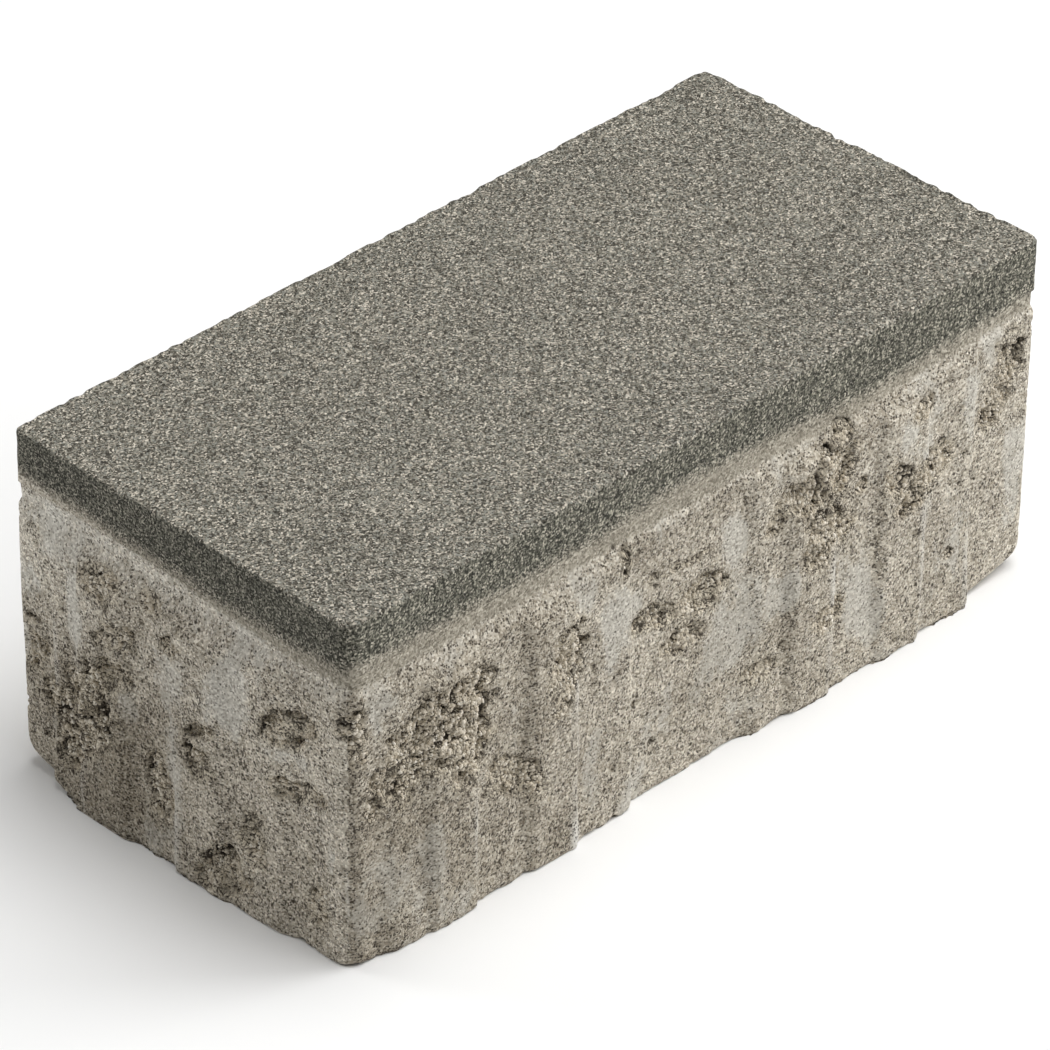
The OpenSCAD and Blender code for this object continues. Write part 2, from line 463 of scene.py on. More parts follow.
def buildCore():
    ring = walkOutline(core["cell"], core["cornerRadii"])
    lowest = np.array([1.6, 1.2, 0.8, 0.45, 0.2, 0.0])  # closer rows on the worn bottom edge
    rows = np.linspace(seamZ, lowest[0], round((seamZ - lowest[0]) / core["cell"]))
    rows = np.concatenate([rows, lowest[1:]])
    field = stackRows(ring, rows)
    stand = sideRelief(field)
    line = flankRidgesAndHighlights(field)
    depth, inside, halo, under = spotDepths(field)
    skin = skinMask(field) * (1 - np.maximum(inside, halo * 0.8))
    pebble = pebbleNoise(field["spot"], core["pebble"], 41)
    clump = roughNoise(field["spot"], 3.6, 43, 2)
    crackAndLipShadow = np.clip(1.2 - np.abs(roughNoise(field["spot"] * (0.7, 0.7, 1), 3.6, 45, 3)) / 0.1, 0, 1)
    crackAndLipShadow *= inside * ease(-0.3, 0.2, roughNoise(field["spot"], 4, 49, 2))
    sand = roughNoise(field["spot"], 1.3, 5, 2)
    calm = ease(0, 5, seamZ - field["z"])          # the seam itself stays true
    smooth = ease(core["shoulderZ"] - 7, core["shoulderZ"] - 1, field["z"])
    skin = np.maximum(skin, smooth * 0.45)
    bulk = core["sink"] + core["sinkWave"] * roughNoise(field["spot"], 22, 15, 2)
    bare = 1 - skin
    crumbs = core["pebbleDepth"] * (1 - pebble) + 0.35 * sand
    worn = bulk + bare * (0.06 + 0.06 * sand) + inside * crumbs
    small = np.clip(roughNoise(field["spot"], 3.0, 61, 3) - 0.34, 0, 1) * 2.2 * bare
    worn = np.clip((worn + small - 0.3 * line) * calm, 0, None)
    worn += depth * np.clip(0.32 + 0.7 * clump, 0.1, None)
    worn += core["crackDepth"] * crackAndLipShadow + core["lipDepth"] * under
    worn += bedLoss(field)
    points = np.column_stack([field["place"] + field["out"] * (stand - worn)[:, None], field["z"]])
    lift = 0.35 * np.clip(roughNoise(field["spot"], 9, 83, 3), 0, 1)
    points[:, 2] += lift * (field["z"] < 0.1)      # only the lowest row

    # the bed closes the bottom, and a plain cap closes the top under the facing
    count = len(ring["side"])
    change, smear = changeHeights(field)
    inner, numbers = fillPlan(points[-count:], ring["counts"])
    inner[:, 2] = core["bedHollows"] * np.clip(roughNoise(inner, 8, 83, 4) + 0.12, 0, 1)
    numbers = numbers + (len(rows) - 1) * count
    middle = len(points) + len(inner)
    everything = np.vstack([points, inner, [[0, 0, seamZ]]])
    cap = np.stack([np.full(count, middle), np.arange(count), (np.arange(count) + 1) % count], axis=1)
    extra = len(everything) - len(points)
    marks = {
        "cavity": np.append(np.clip(np.maximum(inside, halo * 0.75) + small, 0, 1), np.full(extra, 0.2)),
        # staining, painted shade and painted light on the core
        "stainAndPaintedLightShade": np.append(stainAndPaintedLightShadeMap(field), np.full(extra, 0.3)),
        "skin": np.append(skin, np.full(extra, 0.3)),
        # pale flank lines: wear and painted highlight
        "line": np.append(line * (1 - inside), np.zeros(extra)),
        # cracks in the pockets and the line under their lips, both painted dark as shade
        "crackAndLipShadow": np.append(np.maximum(crackAndLipShadow, under), np.zeros(extra)),
        "change": np.append(change, np.full(extra, seamZ)),
        "smear": np.append(smear, np.full(extra, seamZ)),
        # painted shade on each side for the facing concrete's colour
        "shade": np.append(sideValue(field, paintedSideShade), np.ones(extra)),
    }
    faces = [ringQuads(count, len(rows)), gridQuads(numbers, False), cap]
    piece = makePiece("coreBlock", everything, faces, marks)
    triangles = sum(len(part) * (part.shape[1] - 2) for part in faces)
    thin = piece.modifiers.new("thin", "DECIMATE")
    thin.ratio = min(1, core["keepFaces"] / triangles)
    applyModifiers(piece)
    places = np.empty(len(piece.data.vertices) * 3, np.float32)
    piece.data.vertices.foreach_get("co", places)
    # thinning can push a point just outside
    places = np.clip(places.reshape(-1, 3), coreLow * mm, coreHigh * mm)
    piece.data.vertices.foreach_set("co", places.astype(np.float32).reshape(-1))
    print("core", triangles, "triangles thinned to", len(piece.data.polygons))
    return piece, points, field, inside


facing = {
    "cell": 0.545,            # spacing of the mesh
    "cornerRadii": (3.4, 1.4, 2.5, 1.4),
    "edgeRadius": {"front": 0.9, "right": 0.45, "back": 0.35, "left": 0.45},
    "chipping": 2.4,          # how deep the edge chips
    "grain": 1.0,             # the lumps in the wearing face
    "grainDepth": 0.13,
}


def buildFacing():
    ring = walkOutline(facing["cell"], facing["cornerRadii"])
    below = np.array([0, 0.08, 0.2, 0.35, 0.55, 0.8, 1.1, 1.5, 1.95])  # closer rows on the worn edge
    rows = topZ - np.concatenate([below, np.linspace(2.45, topZ - seamZ, 18)])
    field = stackRows(ring, rows)
    edge = sideValue(field, facing["edgeRadius"])
    flat = field["spot"] * (1, 1, 0)
    chip = np.clip(roughNoise(flat, 6, 91, 3) - 0.25, 0, 1) * facing["chipping"]
    crumb = roughNoise(flat, 2.2, 95, 2) * 0.75
    radius = np.clip(edge * (1 + 0.5 * crumb) + chip + crumb, 0.2, None)
    drop = np.clip(1 - (topZ - field["z"]) / radius, 0, 1)
    worn = radius * (1 - np.sqrt(1 - drop ** 2 * 0.999))
    calm = ease(0, 2.5, field["z"] - seamZ)
    sand = roughNoise(field["spot"] * (1, 1, 0.5), 1.2, 5, 2)
    worn += (0.05 + 0.07 * sand + 0.1 * np.clip(roughNoise(field["spot"], 3, 97, 2), 0, 1)) * calm
    points = np.column_stack([field["place"] - field["out"] * worn[:, None], field["z"]])

    count = len(ring["side"])
    inner, numbers = fillPlan(points[:count], ring["counts"])
    rim = np.min(np.abs(facingHigh[:2]) - np.abs(inner[:, :2]), axis=1)
    pebble = pebbleNoise(inner * (1, 1, 0), facing["grain"], 7)
    hollow = np.clip(roughNoise(inner * (1, 1, 0), 3, 33, 2) - 0.45, 0, 1) * 1.2
    wave = 0.05 * (1 + roughNoise(inner * (1, 1, 0), 25, 37, 2))
    inner[:, 2] = topZ - facing["grainDepth"] * (1 - pebble) - hollow - wave
    rubbed = np.clip(0.4 + 1.6 * roughNoise(inner * (1, 1, 0), 1.8, 39, 2), 0, 2)
    inner[:, 2] -= 0.16 * ease(3.5, 0.4, rim) * rubbed
    numbers = np.where(numbers >= count, numbers + len(points) - count, numbers)
    middle = len(points) + len(inner)
    everything = np.vstack([points, inner, [[0, 0, seamZ]]])
    last = len(points) - count + np.arange(count)
    cap = np.stack([np.full(count, middle), np.roll(last, -1), last], axis=1)
    flank = np.concatenate([ease(0.15, 1.0, (topZ - field["z"]) / radius), np.zeros(len(inner)), [1]])
    rest = np.full(len(inner) + 1, seamZ)
    change, smear = [np.concatenate([heights, rest]) for heights in changeHeights(field)]
    # painted shade on each side for the facing concrete's colour
    shade = np.append(sideValue(field, paintedSideShade), np.ones(len(inner) + 1))
    marks = {"flank": flank, "change": change, "smear": smear, "shade": shade}
    faces = [ringQuads(count, len(rows)), gridQuads(numbers, True), cap]
    piece = makePiece("facingSlab", everything, faces, marks)
    print("facing", sum(len(part) * (part.shape[1] - 2) for part in faces), "triangles")
    return piece


grit = {
    "spacing": 0.62,          # at most one grain in each cube this wide
    "smallest": 0.22,
    "largest": 0.58,
    "bias": 2.5,              # above 1 there are more small grains than large ones
    "lumpiness": 0.14,
    "most": {"gritFront": 9500, "gritEnd": 6500, "gritBehind": 7500},
}


def buildGrit(name, points, field, inside, chosenSides, seed):
    pick = np.random.default_rng(seed)
    chosen = np.isin([side["name"] for side in sides], chosenSides)[field["side"]]
    share = inside * ease(-0.5, 0.2, roughNoise(field["spot"], 3, 77, 2))
    high, low = field["z"] < core["shoulderZ"] - 3, field["z"] > 2
    here = pick.permutation(np.flatnonzero(chosen & (share > 0.3) & low & high))
    _, first = np.unique(np.floor(points[here] / grit["spacing"]), axis=0, return_index=True)
    here = here[first]
    if len(here) > grit["most"][name]:
        here = pick.choice(here, grit["most"][name], replace=False)
    count = len(here)
    shaper = bmesh.new()
    bmesh.ops.create_icosphere(shaper, subdivisions=1, radius=1)
    corners = np.array([vertex.co[:] for vertex in shaper.verts])
    shape = np.array([[vertex.index for vertex in face.verts] for face in shaper.faces])
    shaper.free()
    size = grit["smallest"] + (grit["largest"] - grit["smallest"]) * pick.random(count) ** grit["bias"]
    turn = np.linalg.qr(pick.normal(size=(count, 3, 3)))[0]
    turn *= np.sign(np.linalg.det(turn))[:, None, None]
    squash = pick.uniform(0.6, 1.2, (count, 1, 3)) * size[:, None, None]
    uneven = np.clip(pick.normal(size=(count, len(corners), 1)), -2, 2)
    lumps = corners * (1 + grit["lumpiness"] * uneven)
    grains = np.einsum("gij,gvj->gvi", turn, lumps * squash)
    out = np.column_stack([field["out"][here], np.zeros(count)])
    centre = points[here] - out * (size * pick.uniform(-0.3, 0.4, count))[:, None]
    grains = (grains + centre[:, None]).reshape(-1, 3)
    grains = np.clip(grains, coreLow, coreHigh)
    faces = (shape[None] + (np.arange(count) * len(corners))[:, None, None]).reshape(-1, 3)
    tone = np.repeat(pick.random(count), len(corners))
    piece = makePiece(name, grains, [faces], {"tone": tone})
    print(name, count, "grains")
    return piece


def addNode(tree, kind, inputs=None, **settings):
    node = tree.nodes.new(kind)
    for key, value in settings.items():
        setattr(node, key, value)
    for key, value in (inputs or {}).items():
        if isinstance(value, bpy.types.NodeSocket):
            tree.links.new(value, node.inputs[key])
        else:
            node.inputs[key].default_value = value
    return node


def calc(tree, operation, first, second=0.0, third=0.0):
    node = addNode(tree, "ShaderNodeMath", {0: first, 1: second, 2: third}, operation=operation)
    return node.outputs[0]


def remap(tree, value, low, high, outLow=0.0, outHigh=1.0, smooth=True):
    node = addNode(tree, "ShaderNodeMapRange",
                   {"Value": value, "From Min": low, "From Max": high, "To Min": outLow, "To Max": outHigh},
                   interpolation_type="SMOOTHSTEP" if smooth else "LINEAR")
    return node.outputs["Result"]


def blendColours(tree, share, first, second, mode="MIX"):
    node = addNode(tree, "ShaderNodeMix", {0: share, 6: first, 7: second}, data_type="RGBA", blend_type=mode)
    return node.outputs[2]


def ramp(tree, value, stops):
    node = addNode(tree, "ShaderNodeValToRGB", {"Fac": value})
    points = node.color_ramp.elements
    while len(points) < len(stops):
        points.new(0.5)
    for point, (place, colour) in zip(points, stops):
        point.position = place
        point.color = (*colour, 1)
    return node.outputs["Color"]


def stretch(tree, vector, amounts):
    return addNode(tree, "ShaderNodeVectorMath", {0: vector, 1: amounts}, operation="MULTIPLY").outputs[0]


def noise(tree, vector, size, detail=3.0, roughness=0.55):
    node = addNode(tree, "ShaderNodeTexNoise",
                   {"Vector": vector, "Scale": 1 / size, "Detail": detail, "Roughness": roughness})
    return node.outputs["Fac"]


def startGroup(name, inputs, outputs):
    group = bpy.data.node_groups.new(name, "ShaderNodeTree")
    for key, kind, value in inputs:
        socket = group.interface.new_socket(name=key, in_out="INPUT", socket_type="NodeSocket" + kind)
        if value is not None:
            socket.default_value = value
    for key, kind in outputs:
        group.interface.new_socket(name=key, in_out="OUTPUT", socket_type="NodeSocket" + kind)
    return group, addNode(group, "NodeGroupInput").outputs


def endGroup(group, results):
    addNode(group, "NodeGroupOutput", results)
    return group


def useGroup(tree, group, inputs):
    return addNode(tree, "ShaderNodeGroup", inputs, node_tree=group).outputs


sandColours = [  # the sand in the wearing face, dark to light
    (0.0, (0.030, 0.027, 0.021)), (0.2, (0.095, 0.085, 0.066)), (0.42, (0.20, 0.19, 0.152)),
    (0.62, (0.25, 0.253, 0.222)), (0.82, (0.35, 0.316, 0.255)), (1.0, (0.70, 0.645, 0.545)),
]
bandColours = [  # the same sand drawn down the sides
    (0.0, (0.016, 0.016, 0.012)), (0.28, (0.078, 0.076, 0.058)), (0.5, (0.172, 0.166, 0.13)),
    (0.75, (0.265, 0.256, 0.203)), (1.0, (0.62, 0.575, 0.47)),
]
beigeColours = [  # the smear between the two concretes
    (0.0, (0.17, 0.15, 0.112)), (0.4, (0.335, 0.303, 0.242)), (0.8, (0.43, 0.393, 0.32)),
    (1.0, (0.60, 0.557, 0.465)),
]
coreColours = [  # the core's sand and cement, dark to light
    (0.0, (0.23, 0.197, 0.147)), (0.2, (0.43, 0.385, 0.31)), (0.6, (0.56, 0.513, 0.428)),
    (1.0, (0.84, 0.785, 0.68)),
]
gritColours = [  # the loose grains in the pockets
    (0.0, (0.42, 0.35, 0.25)), (0.25, (0.64, 0.565, 0.445)), (0.7, (0.76, 0.69, 0.57)),
    (1.0, (0.90, 0.85, 0.75)),
]
skinColours = [  # slurry closed against the mould
    (0.0, (0.20, 0.187, 0.16)), (0.2, (0.43, 0.41, 0.362)), (0.6, (0.53, 0.508, 0.455)),
    (1.0, (0.72, 0.70, 0.64)),
]


def grey(tree, value):
    return addNode(tree, "ShaderNodeCombineColor", {0: value, 1: value, 2: value}).outputs[0]


def sway(tree, value, amount, base):
    # adds to base a value that is centred on a half, times an amount
    return calc(tree, "MULTIPLY_ADD", calc(tree, "SUBTRACT", value, 0.5), amount, base)


def makeSandGrains():
    # packed sand: each grain has its own tone and stands up a little, and some fell out and left a pit; the
    # materials paint shade in the pits
    tree, given = startGroup(
        "sandGrains",
        [("Vector", "Vector", None), ("Size", "Float", 0.6), ("Pits", "Float", 0.2)],
        [("Tone", "Float"), ("Second Tone", "Float"), ("Height", "Float"), ("Pit", "Float")])
    frequency = calc(tree, "DIVIDE", 1.0, given["Size"])
    cells = addNode(tree, "ShaderNodeTexVoronoi", {"Vector": given["Vector"], "Scale": frequency})
    parts = addNode(tree, "ShaderNodeSeparateColor", {"Color": cells.outputs["Color"]}).outputs
    fallen = remap(tree, calc(tree, "SUBTRACT", given["Pits"], parts["Blue"]), 0.0, 0.08)
    pit = calc(tree, "MULTIPLY", fallen, remap(tree, cells.outputs["Distance"], 0.68, 0.42))
    dome = remap(tree, cells.outputs["Distance"], 0.75, 0.1, 0.0, 0.45)
    stand = calc(tree, "MULTIPLY", dome, parts["Green"])
    height = calc(tree, "ADD", stand, calc(tree, "MULTIPLY_ADD", pit, -1.0, 0.55))
    return endGroup(tree, {"Tone": parts["Red"], "Second Tone": parts["Green"], "Height": height, "Pit": pit})


def makeCobbles():
    # clumps of mortar with thin broken crevices between them
    tree, given = startGroup(
        "cobbles",
        [("Vector", "Vector", None), ("Size", "Float", 1.5), ("Width", "Float", 0.1)],
        [("Height", "Float"), ("Crevice", "Float")])
    frequency = calc(tree, "DIVIDE", 1.0, given["Size"])
    bend = addNode(tree, "ShaderNodeTexNoise", {"Vector": given["Vector"], "Scale": 0.8, "Detail": 2.0})
    bent = addNode(tree, "ShaderNodeVectorMath",
                   {0: bend.outputs["Color"], 1: (1.6, 1.6, 1.6), 2: given["Vector"]},
                   operation="MULTIPLY_ADD")
    edges = addNode(tree, "ShaderNodeTexVoronoi", {"Vector": bent.outputs[0], "Scale": frequency},
                    feature="DISTANCE_TO_EDGE").outputs["Distance"]
    broken = remap(tree, noise(tree, given["Vector"], 2.6, 2.0), 0.38, 0.56)
    darkest = calc(tree, "MULTIPLY", given["Width"], 0.3)
    crevice = calc(tree, "MULTIPLY", remap(tree, edges, given["Width"], darkest), broken)
    height = calc(tree, "SUBTRACT", remap(tree, edges, 0.0, 0.4), calc(tree, "MULTIPLY", crevice, 0.6))
    return endGroup(tree, {"Height": height, "Crevice": crevice})


def makeMottle():
    # broad, soft patches, with a finer set inside them
    tree, given = startGroup(
        "mottle",
        [("Vector", "Vector", None), ("Size", "Float", 20.0), ("Contrast", "Float", 1.0)],
        [("Value", "Float")])
    frequency = calc(tree, "DIVIDE", 1.0, given["Size"])
    broad = addNode(tree, "ShaderNodeTexNoise",
                    {"Vector": given["Vector"], "Scale": frequency, "Detail": 5.0, "Roughness": 0.6})
    return endGroup(tree, {"Value": sway(tree, broad.outputs["Fac"], given["Contrast"], 0.5)})


def makeDragStreaks():
    # upright streaks that the mould leaves as the stone is pushed out
    tree, given = startGroup(
        "dragStreaks",
        [("Vector", "Vector", None), ("Width", "Float", 1.5)],
        [("Value", "Float")])
    flat = stretch(tree, given["Vector"], (1.0, 1.0, 0.045))
    frequency = calc(tree, "DIVIDE", 1.0, given["Width"])
    lines = addNode(tree, "ShaderNodeTexNoise",
                    {"Vector": flat, "Scale": frequency, "Detail": 4.0, "Roughness": 0.62})
    return endGroup(tree, {"Value": remap(tree, lines.outputs["Fac"], 0.28, 0.72)})


def makeLayerFade():
    # the dark facing concrete gives way to the pale core with a ragged, smeared change between them
    tree, given = startGroup(
        "layerFade",
        [("Vector", "Vector", None), ("Tone", "Float", 0.5), ("Pit", "Float", 0.0),
         ("Change Height", "Float", 68.0), ("Smear Height", "Float", 64.0),
         ("Core Colour", "Color", None), ("Shade", "Float", 1.0)],
        [("Colour", "Color")])
    height = addNode(tree, "ShaderNodeSeparateXYZ", {"Vector": given["Vector"]}).outputs["Z"]
    slow = noise(tree, stretch(tree, given["Vector"], (1.0, 1.0, 0.15)), 30.0, 3.0)
    fine = noise(tree, stretch(tree, given["Vector"], (1.0, 1.0, 0.5)), 1.1, 3.0, 0.75)
    shift = sway(tree, fine, 3.0, sway(tree, slow, 2.5, height))
    shift = calc(tree, "MULTIPLY_ADD", calc(tree, "SUBTRACT", 0.5, given["Tone"]), 2.0, shift)
    above = calc(tree, "SUBTRACT", shift, given["Change Height"])
    streaks = noise(tree, stretch(tree, given["Vector"], (1.0, 1.0, 0.08)), 0.7, 2.0)
    dark = ramp(tree, given["Tone"], bandColours)
    # the streaks' tone times the painted shade of each side
    shade = calc(tree, "MULTIPLY", remap(tree, streaks, 0.3, 0.7, 0.78, 1.1), given["Shade"])
    dark = blendColours(tree, 1.0, dark, grey(tree, shade), "MULTIPLY")
    # painted shade in the pits, on the dark band and on the smear
    dark = blendColours(tree, calc(tree, "MULTIPLY", given["Pit"], 0.9), dark, (0.022, 0.022, 0.017, 1))
    beige = ramp(tree, given["Tone"], beigeColours)
    beige = blendColours(tree, calc(tree, "MULTIPLY", given["Pit"], 0.35), beige, (0.12, 0.11, 0.085, 1))
    line = sway(tree, fine, 1.6, height)
    low = remap(tree, calc(tree, "SUBTRACT", line, given["Smear Height"]), -0.7, 0.7)
    colour = blendColours(tree, low, given["Core Colour"], beige)
    colour = blendColours(tree, remap(tree, above, -1.6, 2.4), colour, dark)
    return endGroup(tree, {"Colour": colour})


sandGrains, cobbles, mottle = makeSandGrains(), makeCobbles(), makeMottle()
dragStreaks, layerFade = makeDragStreaks(), makeLayerFade()
print("shader groups made")


def startMaterial(name):
    # an empty material, and the object's own coordinates in millimetres
    material = bpy.data.materials.new(name)
    material.use_nodes = True
    tree = material.node_tree
    tree.nodes.clear()
    place = addNode(tree, "ShaderNodeTexCoord").outputs["Object"]
    vector = addNode(tree, "ShaderNodeVectorMath", {0: place, 3: 1 / mm}, operation="SCALE").outputs[0]
    return material, tree, vector


def pointMark(tree, name):
    return addNode(tree, "ShaderNodeAttribute", attribute_name=name).outputs["Fac"]


def finishMaterial(tree, colour, roughness, normal):
    shader = addNode(tree, "ShaderNodeBsdfPrincipled", {
        "Base Color": colour, "Roughness": roughness, "Normal": normal, "Specular IOR Level": 0.25})
    addNode(tree, "ShaderNodeOutputMaterial", {"Surface": shader.outputs["BSDF"]})


def bump(tree, height, distance, strength=1.0, normal=None):
    inputs = {"Height": height, "Distance": distance * mm, "Strength": strength}
    if normal:
        inputs["Normal"] = normal
    return addNode(tree, "ShaderNodeBump", inputs).outputs["Normal"]


facingFinish = {
    "sand": 0.34,             # size of the packed sand, in millimetres
    "sandPits": 0.32,         # the share of it that fell out
    "grains": 0.7,            # the larger grains among it
    "grainPits": 0.09,
    # near-black painted shade in the pits
    "pitShadeTone": (0.03, 0.027, 0.021, 1),
    "patches": 30.0,
    "bump": 0.16,
}


def facingLook():
    material, tree, vector = startMaterial("sandedFacingConcrete")
    look = facingFinish
    fine = useGroup(tree, sandGrains, {"Vector": vector, "Size": look["sand"], "Pits": look["sandPits"]})
    coarse = useGroup(tree, sandGrains, {"Vector": vector, "Size": look["grains"], "Pits": look["grainPits"]})
    patches = useGroup(tree, mottle, {"Vector": vector, "Size": look["patches"], "Contrast": 0.4})["Value"]
    flank = pointMark(tree, "flank")

    grain = ramp(tree, fine["Tone"], sandColours)
    bigGrain = ramp(tree, coarse["Tone"], sandColours)
    top = blendColours(tree, remap(tree, coarse["Second Tone"], 0.9, 0.93, 0.0, 0.6), grain, bigGrain)
    # painted shade in the pits where grains fell out
    pit = calc(tree, "MAXIMUM", fine["Pit"], coarse["Pit"])
    top = blendColours(tree, calc(tree, "MULTIPLY", pit, 0.85), top, look["pitShadeTone"])
    lift = remap(tree, patches, 0.2, 0.8, 0.85, 1.1, smooth=False)
    top = blendColours(tree, 1.0, top, grey(tree, lift), "MULTIPLY")
    side = useGroup(tree, layerFade, {
        "Vector": vector, "Tone": fine["Tone"], "Pit": fine["Pit"],
        "Change Height": pointMark(tree, "change"), "Smear Height": pointMark(tree, "smear"),
        "Core Colour": ramp(tree, fine["Tone"], coreColours), "Shade": pointMark(tree, "shade")})
    colour = blendColours(tree, flank, top, side["Colour"])

    roughness = remap(tree, fine["Second Tone"], 0.0, 1.0, 0.72, 0.95, smooth=False)
    finishMaterial(tree, colour, roughness, bump(tree, fine["Height"], look["bump"], 0.9))
    return material


coreFinish = {
    "sand": 0.4,              # sizes in millimetres
    "grains": 0.8,
    "packed": 0.8,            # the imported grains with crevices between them
    "clumps": 1.4,            # the crumbs in the pockets
    "patches": 16.0,
    "warmPatches": 6.0,
    "streaks": 2.2,           # width of the upright streaks
    # near-black painted shade in pits, cracks and crevices
    "pitShadeTone": (0.043, 0.033, 0.024, 1),
    "warmTone": (0.40, 0.34, 0.245, 1),
    "pocketTone": (0.80, 0.715, 0.565, 1),
    "streakTone": (0.58, 0.56, 0.51, 1),
    "lineWearAndHighlightTone": (0.72, 0.695, 0.64, 1),
    # the core's colour is multiplied by the first with no staining and by the second at full staining and
    # painted shade
    "cleanShade": (1.1, 1.1, 1.1, 1),
    "stainAndPaintedShadeTone": (0.635, 0.613, 0.572, 1),
    "clumpBump": 0.5,
    "sandBump": 0.2,
}


def coreLook():
    material, tree, vector = startMaterial("zeroSlumpCoreConcrete")
    look = coreFinish
    patches = useGroup(tree, mottle, {"Vector": vector, "Size": look["patches"], "Contrast": 1.0})["Value"]
    warm = useGroup(tree, mottle, {"Vector": vector, "Size": look["warmPatches"], "Contrast": 1.4})["Value"]
    streaks = useGroup(tree, dragStreaks, {"Vector": vector, "Width": look["streaks"]})["Value"]
    skin, cavity, line = [pointMark(tree, name) for name in ("skin", "cavity", "line")]
    stainAndPaintedLightShade, crackAndLipShadow = [pointMark(tree, name) for name in ("stainAndPaintedLightShade", "crackAndLipShadow")]
    speck = noise(tree, vector, 1.3, 3.0, 0.7)
    closed = calc(tree, "MULTIPLY_ADD", stainAndPaintedLightShade, -0.25, skin)
    skinEdge = remap(tree, sway(tree, speck, 1.8, closed), 0.1, 0.9)
    crumbly = remap(tree, sway(tree, speck, 0.9, cavity), 0.25, 0.75)

    # how many grains are missing, then the pits they leave and the crevices between what stayed
    bare = calc(tree, "SUBTRACT", 1.0, calc(tree, "MULTIPLY", skinEdge, 0.7))
    crowd = calc(tree, "MULTIPLY", remap(tree, warm, 0.25, 0.8, 0.14, 0.42), bare)
    crowd = calc(tree, "MULTIPLY_ADD", stainAndPaintedLightShade, 0.16, crowd)
    fewer, fewest = [calc(tree, "MULTIPLY", crowd, share) for share in (0.78, 0.5)]
    fine = useGroup(tree, sandGrains, {"Vector": vector, "Size": look["sand"], "Pits": fewer})
    coarse = useGroup(tree, sandGrains, {"Vector": vector, "Size": look["grains"], "Pits": fewest})
    torn = remap(tree, sway(tree, speck, 3.2, coarse["Pit"]), 0.7, 1.1)
    torn = calc(tree, "MULTIPLY", torn, remap(tree, coarse["Pit"], 0.0, 0.25))
    clumps = useGroup(tree, cobbles, {"Vector": vector, "Size": look["clumps"]})
    crevice = calc(tree, "MULTIPLY", clumps["Crevice"], crumbly)
    squeezed = stretch(tree, vector, (1.0, 1.0, 0.9))
    packed = useGroup(tree, cobbles, {"Vector": squeezed, "Size": look["packed"]})
    showing = remap(tree, skinEdge, 0.0, 1.0, 0.65, 0.05, smooth=False)
    between = calc(tree, "MULTIPLY", packed["Crevice"], showing)
    # painted shade in the cracks and under the pockets' lips
    gap = remap(tree, sway(tree, speck, 0.8, crackAndLipShadow), 0.3, 0.75)
    # pits, torn holes, crevices and cracks, which are painted dark as shade
    pit = fine["Pit"]
    for hole in (between, torn, crevice, gap):
        pit = calc(tree, "MAXIMUM", pit, hole)

    tone = sway(tree, patches, 0.4, fine["Tone"])
    rough = ramp(tree, tone, coreColours)
    slurry = ramp(tree, tone, skinColours)
    slurry = blendColours(tree, remap(tree, streaks, 0.45, 0.95, 0.0, 0.4), slurry, look["streakTone"])
    colour = blendColours(tree, calc(tree, "MULTIPLY", skinEdge, 0.75), rough, slurry)
    colour = blendColours(tree, remap(tree, warm, 0.5, 0.95, 0.0, 0.3), colour, look["warmTone"])
    colour = blendColours(tree, calc(tree, "MULTIPLY", crumbly, 0.6), colour, look["pocketTone"])
    shade = addNode(tree, "ShaderNodeMix", {0: stainAndPaintedLightShade, 6: look["cleanShade"], 7: look["stainAndPaintedShadeTone"]},
                    data_type="RGBA", clamp_factor=False).outputs[2]  # staining and painted shade darken it; below zero, painted light makes it paler
    colour = blendColours(tree, 1.0, colour, shade, "MULTIPLY")
    # paints the flank lines pale: worn edges and painted highlight
    wearAndHighlightShare = calc(tree, "MULTIPLY", line, remap(tree, streaks, 0.2, 0.7, 0.45, 0.95))
    colour = blendColours(tree, wearAndHighlightShare, colour, look["lineWearAndHighlightTone"])
    # painted shade in the pits, cracks and crevices
    colour = blendColours(tree, calc(tree, "MULTIPLY", pit, 0.93), colour, look["pitShadeTone"])
    layered = useGroup(tree, layerFade, {
        "Vector": vector, "Tone": fine["Tone"], "Pit": fine["Pit"],
        "Change Height": pointMark(tree, "change"), "Smear Height": pointMark(tree, "smear"),
        "Core Colour": colour, "Shade": pointMark(tree, "shade")})

    roughness = remap(tree, skinEdge, 0.0, 1.0, 0.94, 0.78, smooth=False)
    uneven = calc(tree, "SUBTRACT", 1.0, calc(tree, "MULTIPLY", skinEdge, 0.6))
    normal = bump(tree, calc(tree, "MULTIPLY", clumps["Height"], crumbly), look["clumpBump"], 0.9)
    normal = bump(tree, calc(tree, "MULTIPLY", fine["Height"], uneven), look["sandBump"], 0.9, normal)
    finishMaterial(tree, layered["Colour"], roughness, normal)
    return material


# the grains' sand, with painted shade in its pits
gritFinish = {"sand": 0.4, "sandPits": 0.1, "pitShadeTone": (0.08, 0.065, 0.045, 1), "bump": 0.12}


def gritLook():
    material, tree, vector = startMaterial("exposedGrit")
    look = gritFinish
    fine = useGroup(tree, sandGrains, {"Vector": vector, "Size": look["sand"], "Pits": look["sandPits"]})
    tone = pointMark(tree, "tone")
    colour = ramp(tree, tone, gritColours)
    colour = blendColours(tree, 0.35, colour, ramp(tree, fine["Tone"], coreColours))
    # painted shade in the grains' sand pits
    colour = blendColours(tree, calc(tree, "MULTIPLY", fine["Pit"], 0.6), colour, look["pitShadeTone"])
    roughness = remap(tree, fine["Second Tone"], 0.0, 1.0, 0.75, 0.95)
    finishMaterial(tree, colour, roughness, bump(tree, fine["Height"], look["bump"], 0.7))
    return material


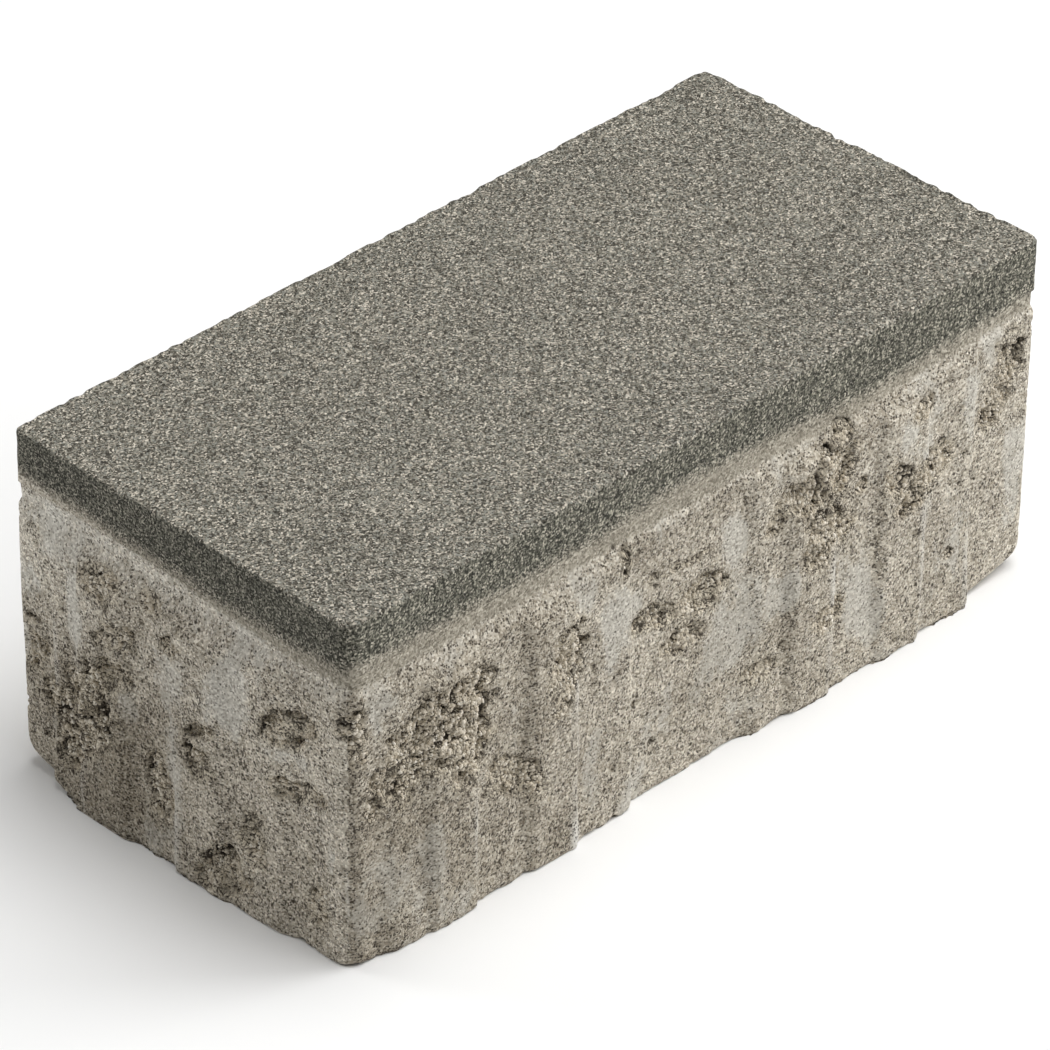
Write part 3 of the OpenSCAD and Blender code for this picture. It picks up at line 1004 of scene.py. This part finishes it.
def floorLook():
    material, tree, vector = startMaterial("paleFloor")
    cloud = noise(tree, vector, 220.0, 2.0)
    colour = blendColours(tree, remap(tree, cloud, 0.3, 0.7), (0.86, 0.86, 0.855, 1), (0.90, 0.90, 0.895, 1))
    finishMaterial(tree, colour, 0.9, bump(tree, noise(tree, vector, 3.0), 0.02, 0.1))
    return material


# the camera looks at the middle of the stone from above its near corner, with a long lens
view = {
    "azimuth": -45.44,        # degrees from the middle of the long side
    "elevation": 34.84,
    "roll": 0.614,
    "distance": 1.2823,       # metres from the aim
    "lens": 220.9,
    "aim": (-8.3, -5.0, 40.0),  # millimetres from the middle of the bed
}


def makeCamera():
    camera = bpy.data.objects.new("camera", bpy.data.cameras.new("camera"))
    camera.data.lens = view["lens"]
    camera.data.sensor_width = 36
    camera.data.clip_start, camera.data.clip_end = 0.05, 20
    turn, rise = math.radians(view["azimuth"]), math.radians(view["elevation"])
    back = Vector((math.sin(turn) * math.cos(rise), -math.cos(turn) * math.cos(rise), math.sin(rise)))
    middle = Vector(((coreLow[0] + coreHigh[0]) / 2, (coreLow[1] + coreHigh[1]) / 2, bedZ))
    middle += Vector(view["aim"])
    spin = back.to_track_quat("Z", "Y").to_matrix().to_4x4()
    spin = spin @ Matrix.Rotation(math.radians(view["roll"]), 4, "Z")
    camera.matrix_world = Matrix.Translation(middle * mm + back * view["distance"]) @ spin
    scene.collection.objects.link(camera)
    scene.camera = camera


lamps = {  # soft boxes: where each stands, its size in metres and its power
    "overhead": {"place": (0.3, -0.3, 1.8), "size": (1.4, 1.4), "power": 34},
    "rightBox": {"place": (1.05, -0.65, 0.45), "size": (0.6, 0.6), "power": 9},
    "leftBox": {"place": (-0.5, 1.0, 0.45), "size": (0.4, 0.4), "power": 4},
}
lampAim = (0, 0, 0.04)
skyStrength = 0.12
floorHalf = 2.5 / mm


def makeLights():
    for name, lamp in lamps.items():
        light = bpy.data.lights.new(name, "AREA")
        light.shape = "RECTANGLE"
        light.size, light.size_y = lamp["size"]
        light.energy = lamp["power"]
        holder = bpy.data.objects.new(name, light)
        place = Vector(lamp["place"])
        holder.location = place
        holder.rotation_euler = (place - Vector(lampAim)).to_track_quat("Z", "Y").to_euler()
        scene.collection.objects.link(holder)
    world = bpy.data.worlds.new("paleStudio")
    scene.world = world
    world.use_nodes = True
    backdrop = world.node_tree.nodes["Background"]
    backdrop.inputs["Color"].default_value = (1, 1, 1, 1)
    backdrop.inputs["Strength"].default_value = skyStrength
    scene.view_settings.view_transform = "Standard"


def makeFloor():
    lines = np.linspace(-floorHalf, floorHalf, 9)
    x, y = np.meshgrid(lines, lines, indexing="ij")
    corners = np.column_stack([x.ravel(), y.ravel(), np.full(x.size, float(bedZ))])
    floor = makePiece("floor", corners, [gridQuads(np.arange(x.size).reshape(x.shape), True)])
    floor.data.materials.append(floorLook())


coreBlock, corePoints, coreField, coreInside = buildCore()
coreBlock.data.materials.append(coreLook())
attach(coreBlock, "root")
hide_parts("core_body")

facingSlab = buildFacing()
facingSlab.data.materials.append(facingLook())
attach(facingSlab, "root")
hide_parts("facing_layer")

gritMaterial = gritLook()
for gritName, gritSides, gritSeed in (("gritFront", ("front",), 101), ("gritEnd", ("left",), 303),
                                      ("gritBehind", ("back", "right"), 202)):
    gritPiece = buildGrit(gritName, corePoints, coreField, coreInside, gritSides, gritSeed)
    gritPiece.data.materials.append(gritMaterial)
    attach(gritPiece, "root")

makeFloor()
makeCamera()
makeLights()
